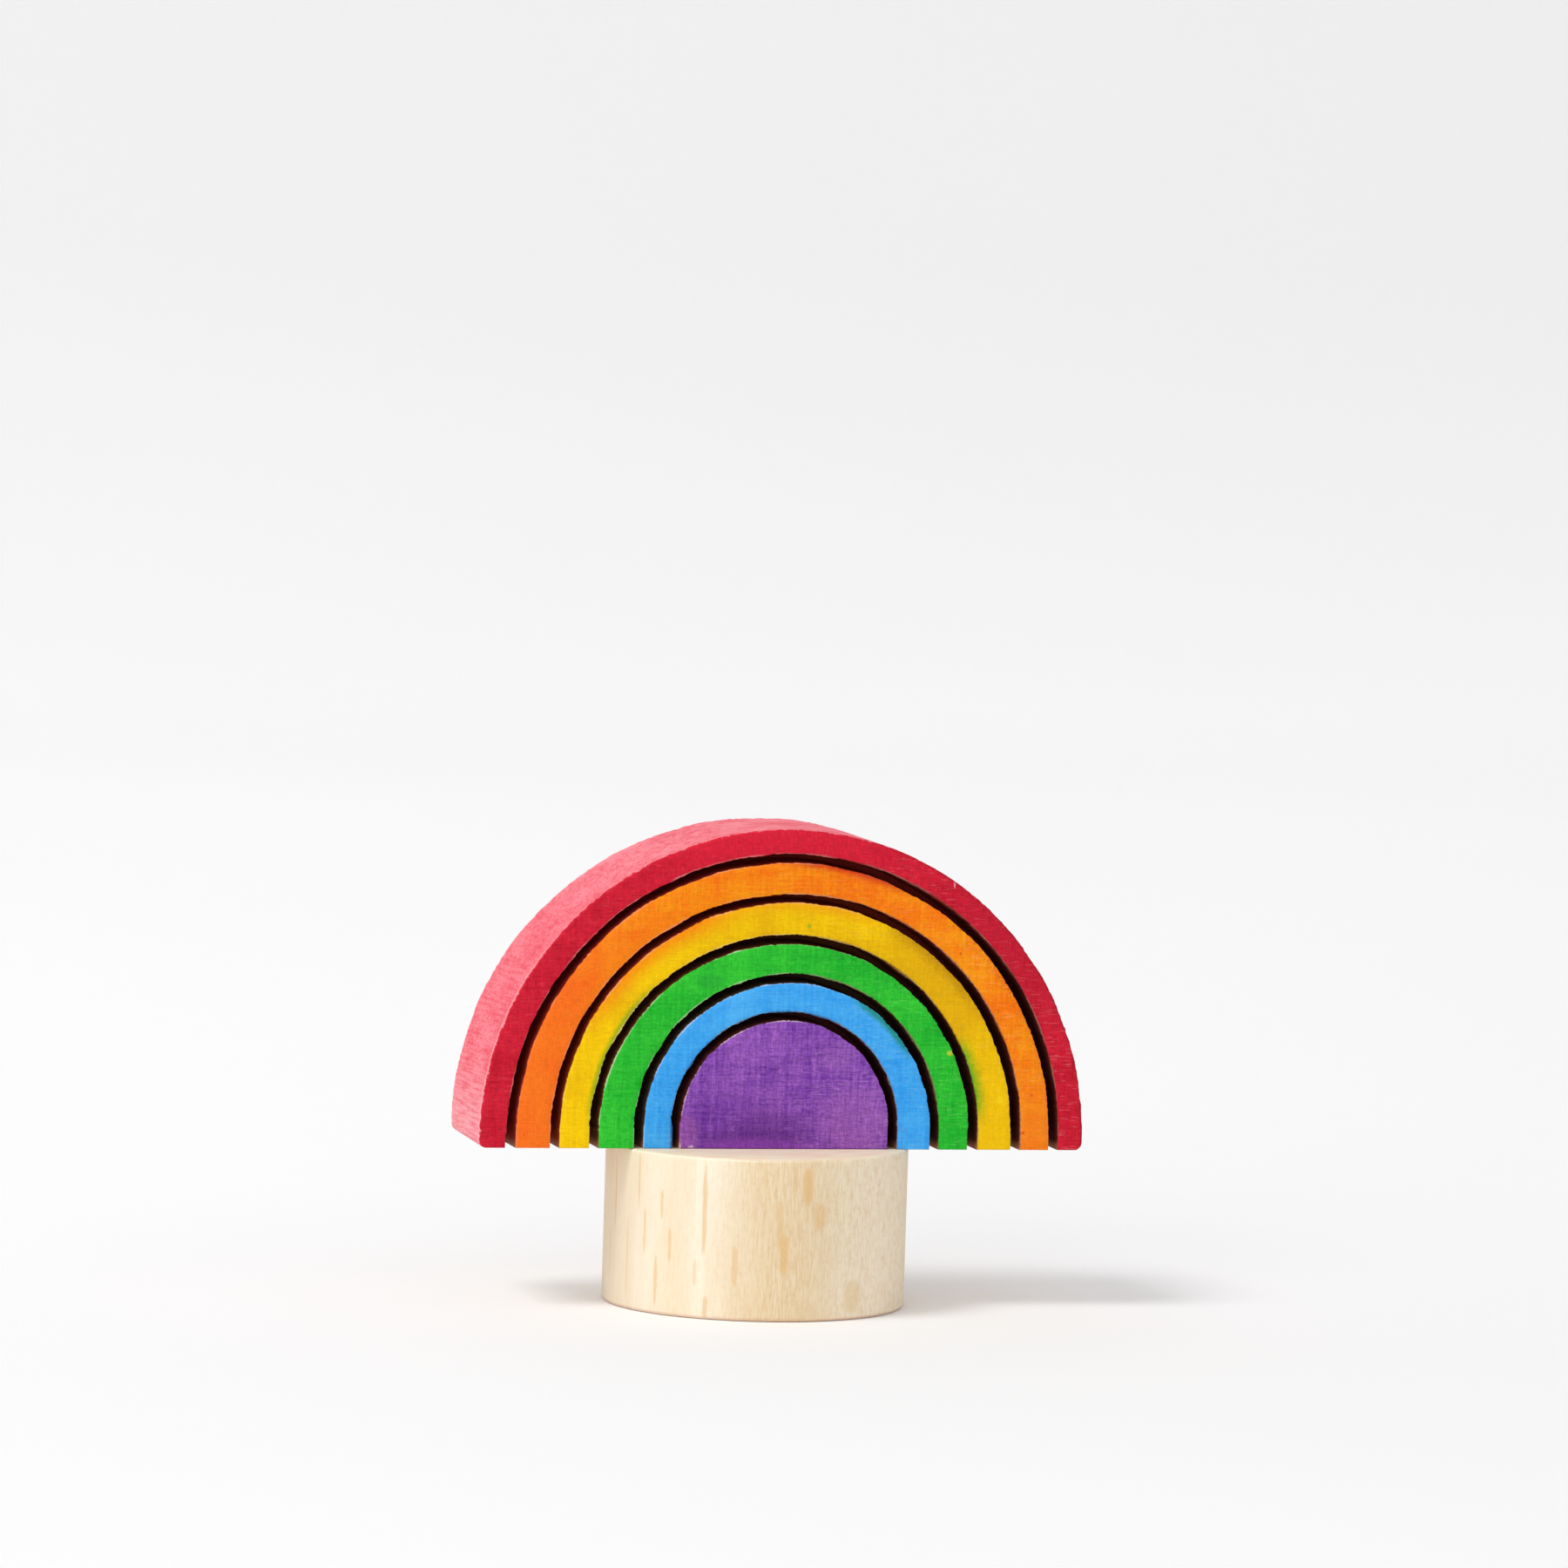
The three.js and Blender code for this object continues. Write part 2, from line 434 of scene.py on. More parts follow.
def wander(amount=EDGE_WANDER):
    """Offsets along the arch: straight runs between random knots, with a fine fuzz on top."""
    knots = chance.normal(0.0, amount, EDGE_KNOTS)
    places = np.linspace(0, EDGE_KNOTS - 1, ARC_STEPS + 1)
    along = np.interp(places, np.arange(EDGE_KNOTS), knots)
    along = along + chance.normal(0.0, EDGE_FUZZ, ARC_STEPS + 1)
    feet = len(LEG_SHARES)
    return np.concatenate([np.full(feet, along[0]), along, np.full(feet, along[-1])])


def arch_stations(radius, lift):
    """Points from the right foot to the left: shares of the radius in x and z, and the base height."""
    leg = leg_at(radius) + lift
    angles = np.linspace(0, math.pi, ARC_STEPS + 1)
    rise = leg * LEG_SHARES
    side = np.concatenate([np.ones(len(rise)), np.cos(angles), -np.ones(len(rise))])
    height = np.concatenate([np.zeros(len(rise)), np.sin(angles), np.zeros(len(rise))])
    base = np.concatenate([rise, np.full(len(angles), leg), rise[::-1]])
    return side, height, base


print("each arch has", ARC_STEPS + 1 + 2 * len(LEG_SHARES), "stations")

# %% [markdown]
# ## Cross-section of the board
# Cut across, the board is flat bands with narrow grooves between them, worn soft at the top and
# narrower below, and a rim with a small round. We could bevel the finished mesh, but a bevel knows
# nothing of a groove's taper. So the section is a list of points, each tied to an edge of a band.

# %% Cross-section
GROOVE_EASING = 0.06
GROOVE_WALL = (
    # offset into the groove, depth
    (-GROOVE_EASING, 0.0),
    (-0.3 * GROOVE_EASING, 0.3 * GROOVE_EASING),
    (0.0, GROOVE_EASING),
    (0.015, 0.3 * GROOVE_DEPTH),
    (0.05, GROOVE_DEPTH - 0.15),
    (0.12, GROOVE_DEPTH),
)
MIDDLE_SHARES = (0.0, 0.25, 0.5, 0.75, 0.92)
BAND_SHARES = (0.2, 0.5, 0.8)
RIM_EDGE = 2 * len(BAND_WIDTHS)
RIM_EASING = 0.2
RIM_TURNS = (0, 22.5, 45, 67.5, 90)


def face_section():
    """One face from the middle to the rim, as (edge, offset from the edge, depth) points.

    A point with two edges lies on the band between them."""
    section = [("middle", share, 0.0) for share in MIDDLE_SHARES]
    for k in GROOVES:
        section += [(2 * k, offset, depth) for offset, depth in GROOVE_WALL]
        section += [(2 * k + 1, -offset, depth) for offset, depth in reversed(GROOVE_WALL)]
        section += [((2 * k + 1, 2 * k + 2), share, 0.0) for share in BAND_SHARES]
    for degrees in RIM_TURNS:
        turn_in = math.radians(degrees)
        inset = RIM_EASING * (math.sin(turn_in) - 1)
        section.append((RIM_EDGE, inset, RIM_EASING * (1 - math.cos(turn_in))))
    return section


print("cross-section has", len(face_section()), "points on each face")

# %% [markdown]
# ## Edges of the bands
# By hand, no groove is quite concentric with the next. Each one could be bent with a modifier, but a
# small shift to the side, a lift and a wander for each of its edges say the same in numbers. A point of
# the cross-section then becomes a curve along the edge that it is tied to.

# %% Edges of the bands
CENTRE_SHIFTS = (0.055, 0.22, 0.05, 0.21, 0.05)
CENTRE_LIFTS = (-0.05, -0.03, -0.14, -0.03, 0.03)
RIM_WANDER = 0.025
RIM_STRAY_LIMIT = 0.02


def edge_curves():
    """Every groove edge and the rim: radius, sideways shift and lift of the centre, and the wander."""
    curves = []
    for radius, shift, lift in zip(groove_radii, CENTRE_SHIFTS, CENTRE_LIFTS):
        for edge in (radius, radius + GROOVE_WIDTH):
            curves.append((edge, shift, lift, wander()))
    curves.append((board_radius, 0.0, 0.0, np.minimum(wander(RIM_WANDER), RIM_STRAY_LIMIT)))
    return curves


def curve_point(curve, offset):
    """The stations of an edge, moved outwards by an offset."""
    radius, shift, lift, stray = curve
    side, height, base = arch_stations(radius, lift)
    reach = radius + stray + offset
    return shift + reach * side, base + reach * height


def section_curve(curves, edge, offset):
    """x and z along the arch for one point of the cross-section."""
    if edge == "middle":
        radius, shift, lift, stray = curves[0]
        inner = (radius, shift * offset, lift, stray * offset)
        return curve_point(inner, radius * (offset - 1) - GROOVE_EASING * offset)
    if isinstance(edge, tuple):
        first = curve_point(curves[edge[0]], GROOVE_EASING)
        second = curve_point(curves[edge[1]], -GROOVE_EASING)
        return tuple(a + (b - a) * offset for a, b in zip(first, second))
    return curve_point(curves[edge], offset)


print("widest shift of a groove", max(CENTRE_SHIFTS), "mm")

# %% [markdown]
# ## From points to a piece
# The board and the plug are both closed meshes that we build point by point in a bmesh. Rings of points
# around the plug's axis serve for the plug and for the bore of the pin. A modifier could smooth the
# result, but marking the sharp edges keeps the flat faces flat.

# %% Rings and finished pieces


def add_ring(body, reaches, height):
    """A ring of points around the plug's axis, with one reach in metres for each point."""
    ring = []
    for k, reach in enumerate(reaches):
        angle = 2 * math.pi * k / len(reaches)
        ring.append(body.verts.new((reach * math.cos(angle), reach * math.sin(angle), height)))
    return ring


def join_rings(body, low, high):
    """A belt of faces between two rings."""
    for k in range(len(low)):
        j = (k + 1) % len(low)
        body.faces.new((low[k], low[j], high[j], high[k]))


def finish_piece(body, name, sharp_degrees):
    """Makes an object of a closed bmesh, smooth except at its sharp edges."""
    bmesh.ops.recalc_face_normals(body, faces=body.faces)
    open_edges = sum(1 for edge in body.edges if len(edge.link_faces) != 2)
    mesh = bpy.data.meshes.new(name)
    body.to_mesh(mesh)
    body.free()
    mesh.shade_smooth()
    mesh.set_sharp_from_angle(angle=math.radians(sharp_degrees))
    print(name, "has", len(mesh.polygons), "faces and", open_edges, "open edges")
    return place_object(name, mesh)


print("rings and pieces can be made")

# %% [markdown]
# ## The grooved board
# Now the section runs along the arch: front face, rim and back face become rows of points, and faces
# join them. The feet get rounded corners. The underside is filled last, around a blind bore for the
# pin that nobody sees. A boolean could cut the bore, but filling around a ring leaves cleaner faces.

# %% Sweep the section
FOOT_CORNER = 0.5
FOOT_EASING = 0.1
RIM_ROWS = 9
PIN_RADIUS = 2.0
PIN_CLEARANCE = 0.15
PIN_END_GAP = 0.5
BORE_SIDES = 48
SAME_POINT = 1e-4 * MM
BOARD_SHARP = 32
bore_radius = PIN_RADIUS + PIN_CLEARANCE


def foot_ease(z, amount):
    """How far an eased foot edge draws in at height z."""
    near = np.clip(1 - z / amount, 0, 1)
    return amount * (1 - np.sqrt(1 - near ** 2))


def face_rows(curves, sign):
    """Rows of points from the middle of a face to its rim, in board millimetres."""
    rows = []
    for edge, offset, depth in face_section():
        x, z = section_curve(curves, edge, offset)
        depths = np.maximum(depth, foot_ease(z, FOOT_EASING))
        if edge == RIM_EDGE:
            x = np.sign(x) * (np.abs(x) - foot_ease(z, FOOT_CORNER))
        rows.append(np.stack([x, sign * (board_size.y / 2 - depths), z], 1))
    return rows


def close_underside(body):
    """The flat underside with a blind bore for the hidden pin, which closes the mesh."""
    reaches = [bore_radius * MM] * BORE_SIDES
    mouth = add_ring(body, reaches, board_low.z)
    end = add_ring(body, reaches, pin_high.z + PIN_END_GAP * MM)
    join_rings(body, mouth, end)
    body.faces.new(end)
    open_edges = [edge for edge in body.edges if len(edge.link_faces) == 1]
    bmesh.ops.triangle_fill(body, edges=open_edges, normal=(0.0, 0.0, -1.0), use_beauty=True)


def make_board():
    """The whole board as one closed mesh."""
    front = face_rows(edge_curves(), -1)
    back = face_rows(edge_curves(), 1)
    across = np.linspace(0, 1, RIM_ROWS + 2)[1:-1]
    rim = [front[-1] + (back[-1] - front[-1]) * share for share in across]
    grid = front + rim + back[::-1]
    body = bmesh.new()
    points = [[body.verts.new(Vector(p) * MM + board_centre * MM) for p in row] for row in grid]
    for row, after in zip(points, points[1:]):
        for s in range(len(row) - 1):
            body.faces.new((row[s], row[s + 1], after[s + 1], after[s]))
    bmesh.ops.remove_doubles(body, verts=body.verts, dist=SAME_POINT)
    close_underside(body)
    return finish_piece(body, "stained_board", BOARD_SHARP)


stained_board = make_board()

# %% [markdown]
# ## The plug
# The plug is sawn from round beech rod: a plain cylinder with lightly broken edges, and the bore for
# the hidden pin in its top. Blender has a cylinder ready, but a turned profile also gives the soft
# arcs at both rims that catch light, and a rod that isn't perfectly round.

# %% Turned plug
PIN_BORE_DEPTH = 6.0
PLUG_BOTTOM_BREAK = 0.32
PLUG_TOP_BREAK = 0.2
BREAK_TURNS = (0, 30, 60, 90)
BOTTOM_RADII = (3.0, 6.5)
SIDE_SHARES = (0.2, 0.4, 0.6, 0.8)
TOP_RADII = (7.0, 4.5, bore_radius)
PLUG_SIDES = 180
PLUG_WANDER = 0.012
PLUG_SHARP = 40
plug_radius = (plug_high.x - plug_low.x) / 2 / MM
plug_height = (plug_high.z - plug_low.z) / MM


def rounded_break(height, amount, sign):
    """A quarter round on the profile of a turned edge, upwards or downwards from a height."""
    arc = []
    for degrees in BREAK_TURNS:
        angle = math.radians(degrees)
        inset = amount * (1 - math.sin(angle))
        arc.append((plug_radius - inset, height + sign * amount * (1 - math.cos(angle))))
    return arc[::sign]


def make_plug():
    """The plug as a closed turned mesh with a blind bore."""
    profile = [(radius, 0.0) for radius in BOTTOM_RADII]
    profile += rounded_break(0.0, PLUG_BOTTOM_BREAK, 1)
    profile += [(plug_radius, plug_height * share) for share in SIDE_SHARES]
    profile += rounded_break(plug_height, PLUG_TOP_BREAK, -1)
    profile += [(radius, plug_height) for radius in TOP_RADII]
    profile += [(bore_radius, plug_height - PIN_BORE_DEPTH)]
    inwards = np.minimum(wander(PLUG_WANDER)[:PLUG_SIDES], 0.0)
    body = bmesh.new()
    rings = []
    for radius, height in profile:
        on_side = radius > plug_radius - 1
        rings.append(add_ring(body, (radius + inwards * on_side) * MM, height * MM))
    for low, high in zip(rings, rings[1:]):
        join_rings(body, low, high)
    body.faces.new(rings[0][::-1])
    body.faces.new(rings[-1])
    return finish_piece(body, "turned_plug", PLUG_SHARP)


turned_plug = make_plug()

# %% [markdown]
# ## Wood figure, shared by all the wood
# Pale hardwood shows a few things up close: long soft streaks along the grain, short darker ray
# flecks, raised fibres and tiny pores. A picture of wood would repeat and blur. Noise that is stretched
# along the grain doesn't. The group takes a position whose X runs along the grain, so each material
# turns its own position first.

# %% Wood figure group
WOOD_NOISES = {
    # waves to the millimetre along, into and across the grain, then detail and roughness
    "streak": ((0.22, 1.4, 5.0), 3.0, 0.6),
    "ray": ((1.3, 0.7, 8.0), 1.0),
    "speckle": ((4.0, 4.0, 6.0), 2.0, 0.6),
    "pores": ((0.8, 9.0, 11.0), 2.0, 0.6),
}
HAIR_NOISE = ((1.2, 1.2, 10.0), 1.0)
HAIR_SHIFT = (31.0, 7.0, 13.0)
RAY_EDGES = (0.55, 0.70)
HAIR_EDGES = (0.58, 0.76)
STREAK_HEIGHT = 0.4
PORE_HEIGHT = 0.6
FLECK_DEPTH = 0.4
FIGURE_OUTPUTS = ("Streak", "Fleck", "Fibre", "Speckle", "Height")


def make_wood_figure():
    """Takes a position whose X runs along the grain and whose Y points to the middle of the tree."""
    wiring, place, result = new_group("wood_figure", FIGURE_OUTPUTS)
    seen = wiring.noises(place, WOOD_NOISES)
    hair = wiring.noise(wiring.vector("ADD", place, HAIR_SHIFT), *HAIR_NOISE)
    fleck = wiring.step(seen["ray"], *RAY_EDGES)
    ridges = wiring.times(seen["streak"], STREAK_HEIGHT)
    lines = wiring.add(ridges, wiring.times(seen["pores"], PORE_HEIGHT))
    wiring.put(result["Streak"], seen["streak"])
    wiring.put(result["Fleck"], fleck)
    wiring.put(result["Fibre"], wiring.step(hair, *HAIR_EDGES))
    wiring.put(result["Speckle"], seen["speckle"])
    wiring.put(result["Height"], wiring.minus(lines, wiring.times(fleck, FLECK_DEPTH)))
    return wiring.tree


wood_figure = make_wood_figure()
print("wood figure group puts out", FIGURE_OUTPUTS)

# %% [markdown]
# ## Where a point lies under the arches
# The stain follows the arches, so the board's material needs the arch radius and the angle of every
# point. They could be stored on the mesh, but a group works them out from the position alone. A stilted
# arch is a half circle on feet: beside the feet the radius is just the distance from the middle line.

# %% Arch place group


def make_arch_place():
    """Takes a position in the board and puts out its arch radius and its angle from the right foot."""
    wiring, place, result = new_group("arch_place", ("Radius", "Degrees"))
    x, _, z = wiring.parts(place)

    def rise_over(leg):
        return wiring.math("MAXIMUM", wiring.minus(z, leg), 0.0)

    rough = wiring.length(x, rise_over((INNER_LEG + OUTER_LEG) / 2))
    slope = (OUTER_LEG - INNER_LEG) / (board_radius - VIOLET_RADIUS)
    rise = rise_over(wiring.add(wiring.times(rough, slope), INNER_LEG - slope * VIOLET_RADIUS))
    angle = wiring.math("ARCTAN2", rise, x)
    wiring.put(result["Radius"], wiring.length(x, rise))
    wiring.put(result["Degrees"], wiring.times(angle, 180 / math.pi))
    return wiring.tree


arch_place = make_arch_place()
print("arch place group has", len(arch_place.nodes), "nodes")

# %% [markdown]
# ## Washes
# Stain, wear and soot lie over the wood as thin washes, and so do painted shade and painted highlights.
# Each could be wired by hand, but a table is easier to read and to change. A row gives a tone, a share
# and the masks that limit it. What is known about a point of the surface stands in a dictionary of
# sockets, and the masks name its entries.

# %% Washes and wood finish


def masked(wiring, at, share, masks):
    """A share times its masks: a name is taken as it is, and (name, low, high) is a smooth step."""
    for mask in masks:
        value = at[mask] if isinstance(mask, str) else wiring.step(at[mask[0]], *mask[1:])
        share = wiring.times(share, value)
    return share


def add_washes(wiring, colour, at, washes):
    """Lays tones over a colour one after the other."""
    for tone, share, *masks in washes:
        tone = at[tone] if isinstance(tone, str) else srgb(*tone)
        colour = wiring.mix(masked(wiring, at, share, masks), colour, tone)
    return colour


def density(wiring, at, layers, edge):
    """How deep the stain is: layers of noise, each around its middle and by its weight."""
    total = 0.0
    for name, weight in layers:
        total = wiring.add(total, wiring.times(wiring.minus(at[name], 0.5), weight))
    return wiring.step(total, -edge, edge)


def finish_wood(wiring, shader, colour, rough, gloss, height, bump_share, bump_depth):
    """Puts colour, roughness, a faint gloss and a shallow bump of the grain on the shader."""
    bump = wiring.node("ShaderNodeBump")
    bump.inputs["Strength"].default_value = bump_share
    bump.inputs["Distance"].default_value = bump_depth * MM
    wiring.put(bump.inputs["Height"], height)
    wiring.put(shader.inputs["Normal"], bump.outputs["Normal"])
    wiring.put(shader.inputs["Base Color"], colour)
    wiring.put(shader.inputs["Roughness"], rough)
    shader.inputs["Specular IOR Level"].default_value = gloss


print("washes can be laid")

# %% [markdown]
# ## Stain of the bands
# Thin stain lets the wood show: it is deeper where the wood drank more of it and lighter along hard
# grain. One flat colour for each band would look like paint. Each stain is therefore a pair, a thin
# and a deep tone, and a table says how far each mark of the wood shows in it.

# %% Stain tones
STAINS = (
    # thin tone, deep tone, dark flecks, pale fibres, soaked patches, weave, worn edges with painted
    # highlight
    ((166, 102, 198), (100, 42, 154), 0.25, 0.10, 0.21, 0.85, 1.0),
    ((82, 184, 250), (46, 156, 240), 0.15, 0.08, 0.63, 0.3, 0.6),
    ((58, 206, 56), (22, 174, 42), 0.175, 0.08, 0.7, 0.45, 0.65),
    ((253, 208, 0), (232, 180, 0), 0.125, 0.06, 0.7, 0.25, 0.3),
    ((253, 160, 16), (248, 114, 10), 0.15, 0.08, 0.7, 0.3, 0.25),
    ((218, 34, 58), (190, 16, 42), 0.2, 0.12, 0.7, 0.5, 0.3),
)
THIN, DEEP, FLECKED, FIBROUS, SOAKED, WOVEN, EDGE_WEAR_AND_HIGHLIGHT = zip(*STAINS)
BAND_STARTS = [0.0] + [radius + GROOVE_WIDTH / 2 for radius in groove_radii]
RAMP_REACH = 22.0


def ring_ramp(wiring, at, starts, colours):
    """The colour whose ring a point lies in. Each ring goes on to the start of the next."""
    stops = [(start / RAMP_REACH, colour) for start, colour in zip(starts, colours)]
    return wiring.ramp(wiring.times(at["Radius"], 1 / RAMP_REACH), stops, "CONSTANT")


def band_tone(wiring, at, tones):
    """One tone for each band."""
    return ring_ramp(wiring, at, BAND_STARTS, [srgb(*tone) for tone in tones])


def band_share(wiring, at, shares):
    """One share for each band."""
    return ring_ramp(wiring, at, BAND_STARTS, [grey(share) for share in shares])


def only_band(wiring, at, band):
    """One inside a single band, counted from the middle, and nothing elsewhere."""
    return band_share(wiring, at, [float(k == band) for k in range(len(STAINS))])


print(len(STAINS), "bands start at", [round(start, 2) for start in BAND_STARTS])

# %% [markdown]
# ### Thin and deep
# Several layers of noise decide how much stain a place took: wide soaked patches, streaks, cross
# ripples and specks. A single noise would look like clouds. Dark flecks and pale raised fibres follow.
# The fibres show most at the right, where the light grazes them, and a fine weave lies over all.

# %% Stain colour
BOARD_NOISES = {
    # waves to the millimetre along the board, through it and upwards, then detail and roughness
    "soaked": ((0.22, 0.3, 0.4), 3.0, 0.6),
    "ripple": ((0.9, 0.3, 0.05), 2.0, 0.6),
    "weft": ((4.6, 0.6, 0.3), 2.0, 0.6),
    "dashes": ((2.4, 0.6, 9.0), 1.0),
    "threads": ((9.0, 0.6, 1.8), 1.0),
    "ragged": ((3.0, 3.0, 3.0), 3.0, 0.65),
    "patches": ((0.4, 0.4, 0.4), 2.0),
    "specks": ((7.0, 7.0, 7.0), 2.0, 0.6),
    "rim_soak": ((0.4, 0.3, 0.4), 2.0),
    "rim_lint": ((0.7, 5.0, 9.0), 2.0, 0.6),
}
STAIN_LAYERS = (("Streak", 0.3), ("weft", 0.35), ("Speckle", 0.3), ("ripple", 0.3))
STAIN_EDGE = 0.225
FIBRE_TURN = (110, 25)
FIBRE_SHARES = (0.5, 2.2)
PALE_FIBRE = srgb(255, 238, 224)
FIBRE_PALENESS = 0.3


def stain_colour(wiring, at):
    """The stain of each band, thin or deep as the wood took it."""
    thin = band_tone(wiring, at, THIN)
    deep = band_tone(wiring, at, DEEP)
    layers = (("soaked", band_share(wiring, at, SOAKED)), *STAIN_LAYERS)
    colour = wiring.mix(density(wiring, at, layers, STAIN_EDGE), thin, deep)
    flecks = wiring.times(at["Fleck"], band_share(wiring, at, FLECKED))
    colour = wiring.mix(flecks, colour, deep, "MULTIPLY")
    raised = wiring.spread(wiring.step(at["Degrees"], *FIBRE_TURN), *FIBRE_SHARES)
    fibres = wiring.times(at["Fibre"], band_share(wiring, at, FIBROUS), raised)
    return wiring.mix(fibres, colour, wiring.mix(FIBRE_PALENESS, thin, PALE_FIBRE))


def add_weave(wiring, colour, at):
    """Fine dashes along the grain and threads across it, strongest in the violet."""
    both = wiring.minus(wiring.add(at["dashes"], at["threads"]), 1.0)
    tone = wiring.add(wiring.times(both, band_share(wiring, at, WOVEN)), 1.0)
    return wiring.mix(1.0, colour, wiring.joined(tone, tone, tone), "MULTIPLY")


print("stain draws on", len(BOARD_NOISES), "noises")

# %% [markdown]
# ### Uneven along the arch
# The bands were filled by hand, so one colour isn't even along its arch: a brush runs dry, or goes over
# a place twice. We could paint these changes on the mesh, but a short list of angles is easier to read.

# %% Tints along the arches
TINTS = (
    # band counted from the middle, from degrees, to degrees, colour, strength
    (4, 112, 250, (251, 106, 32), 0.75),
    (4, -70, 24, (247, 126, 30), 0.6),
    (5, 60, 125, (226, 34, 60), 0.6),
    (5, 18, 62, (190, 26, 50), 0.5),
    (3, 20, 66, (222, 165, 6), 0.6),
    (3, -60, 26, (246, 198, 6), 0.6),
)
WINDOW_SOFTNESS = 0.3


def window(low, high):
    """Masks that are one inside a range of angles and fall softly to nothing at both ends."""
    soft = WINDOW_SOFTNESS * (high - low)
    return ("Degrees", low, low + soft), ("Degrees", high, high - soft)


def add_tints(wiring, colour, at):
    """Slow changes of colour along single bands."""
    for band, low, high, tone, strength in TINTS:
        at["tinted"] = only_band(wiring, at, band)
        colour = add_washes(wiring, colour, at, [(tone, strength, "tinted", *window(low, high))])
    return colour


print(len(TINTS), "tints")

# %% [markdown]
# ### Creeping stain and soot
# Wet stain crept over some grooves, and soot of the burning settled beside others. Both fade away from
# an edge. A straight fade would look sprayed, so a ragged noise shifts it, and the soot also breaks
# into specks.

# %% Creeping stain and soot
BLEEDS = (
    # edge radius, from degrees, to degrees, reach, colour, strength
    (groove_radii[2] + GROOVE_WIDTH, 1, 31, 1.35, (86, 172, 24), 1.0),
    (groove_radii[2] + GROOVE_WIDTH, 128, 184, 0.5, (120, 176, 16), 0.75),
    (groove_radii[3], 98, 158, 2.2, (250, 134, 10), 1.0),
    (groove_radii[3], 62, 112, 1.3, (244, 158, 8), 0.7),
    (groove_radii[3], 30, 68, 1.0, (186, 130, 6), 0.6),
    (groove_radii[1], 26, 66, 0.6, (28, 140, 96), 0.9),
    (groove_radii[4], 60, 94, 0.75, (206, 54, 20), 0.9),
)
SOOT = (
    (groove_radii[3], 26, 72, 2.0, (160, 116, 8), 0.5),
    (groove_radii[2], 40, 84, 1.8, (22, 122, 32), 0.6),
    (groove_radii[4], 8, 60, 1.1, (176, 78, 14), 0.5),
)
SOOT_GRAIN = ("specks", 0.46, 0.68)
RAGGED_SHARE = 0.5
FULL_SHARE = 0.15


def add_strays(wiring, colour, at, strays, *grain):
    """Stain or soot that strayed from an edge, whole or broken by a grain."""
    for edge, low, high, reach, tone, strength in strays:
        away = wiring.math("ABSOLUTE", wiring.minus(at["Radius"], edge))
        at["from_edge"] = wiring.add(away, wiring.times(at["ragged"], RAGGED_SHARE * reach))
        near = ("from_edge", reach, FULL_SHARE * reach)
        colour = add_washes(wiring, colour, at, [(tone, strength, near, *window(low, high), *grain)])
    return colour


print(len(BLEEDS), "bleeds and", len(SOOT), "sooty places")

# %% [markdown]
# ### Drops and rubbed spots
# A few drops fell, some places were rubbed and the violet is darker where it soaked. At the violet's foot
# lies a smear of glue, with a painted sheen and a painted glint on its left end. They could be little
# meshes on the face, but stain has no thickness. Each is an ellipse with a ragged edge, in a list. They
# were seen on the front only, so for the back we shift the position so far that no spot is met.

# %% Drops and rubbed spots
SPOTS = (
    # x, z, half width, half height, colour, strength
    (-3.4, 1.7, 4.2, 2.6, (96, 40, 146), 0.28),
    (-0.9, 1.2, 3.4, 1.7, (92, 38, 126), 0.45),
    (4.9, 1.9, 3.2, 2.8, (174, 110, 188), 0.36),
    (3.4, 6.1, 1.7, 1.1, (170, 110, 190), 0.25),
    (-6.6, 0.9, 1.2, 2.0, (164, 94, 164), 0.35),
    (-5.2, 11.0, 1.4, 0.7, (26, 150, 50), 0.45),
    # a darker band just above the glue smear
    (-1.9, 0.6, 4.9, 1.0, (86, 32, 124), 0.45),
    # the glue smear at the violet's foot: partly the glue's own tone, partly a painted sheen
    (-1.9, -0.1, 4.9, 1.1, (136, 66, 172), 0.85),
    # painted highlight: a glint on the left end of the glue smear
    (-6.2, 0.14, 0.24, 0.09, (226, 194, 208), 0.7),
    (11.05, 17.65, 0.08, 0.42, (246, 160, 176), 0.9),
    (16.75, 3.64, 0.14, 0.12, (206, 86, 18), 0.7),
    (16.25, 1.15, 0.16, 0.12, (222, 76, 22), 0.8),
    (11.1, 6.4, 0.26, 0.22, (190, 200, 50), 1.0),
    (14.6, 3.3, 0.24, 0.3, (252, 214, 20), 1.0),
    (1.3, 14.7, 0.2, 0.2, (150, 180, 30), 0.8),
    (11.6, 13.0, 0.12, 0.12, (200, 60, 20), 0.7),
)
SPOT_RAGGED = 0.6
SPOT_FADE = (1.0, 0.4)
BACK_SHIFT = 100.0


def add_spots(wiring, colour, x, z, ragged, spots, blunt=False):
    """Drops, worn places, flecks and a painted glint and sheen, each a ragged ellipse. A blunt one is
    wide almost to its ends.
    """
    stray = wiring.times(wiring.minus(ragged, 0.5), SPOT_RAGGED)
    for spot_x, spot_z, half_width, half_height, tone, strength in spots:
        off_x = wiring.times(wiring.minus(x, spot_x), 1 / half_width)
        off_z = wiring.times(wiring.minus(z, spot_z), 1 / half_height)
        if blunt:
            off_z = wiring.times(off_z, off_z)
        away = wiring.add(wiring.length(off_x, off_z), stray)
        share = wiring.times(wiring.step(away, *SPOT_FADE), strength)
        colour = wiring.mix(share, colour, srgb(*tone))
    return colour


print(len(SPOTS), "spots on the front")
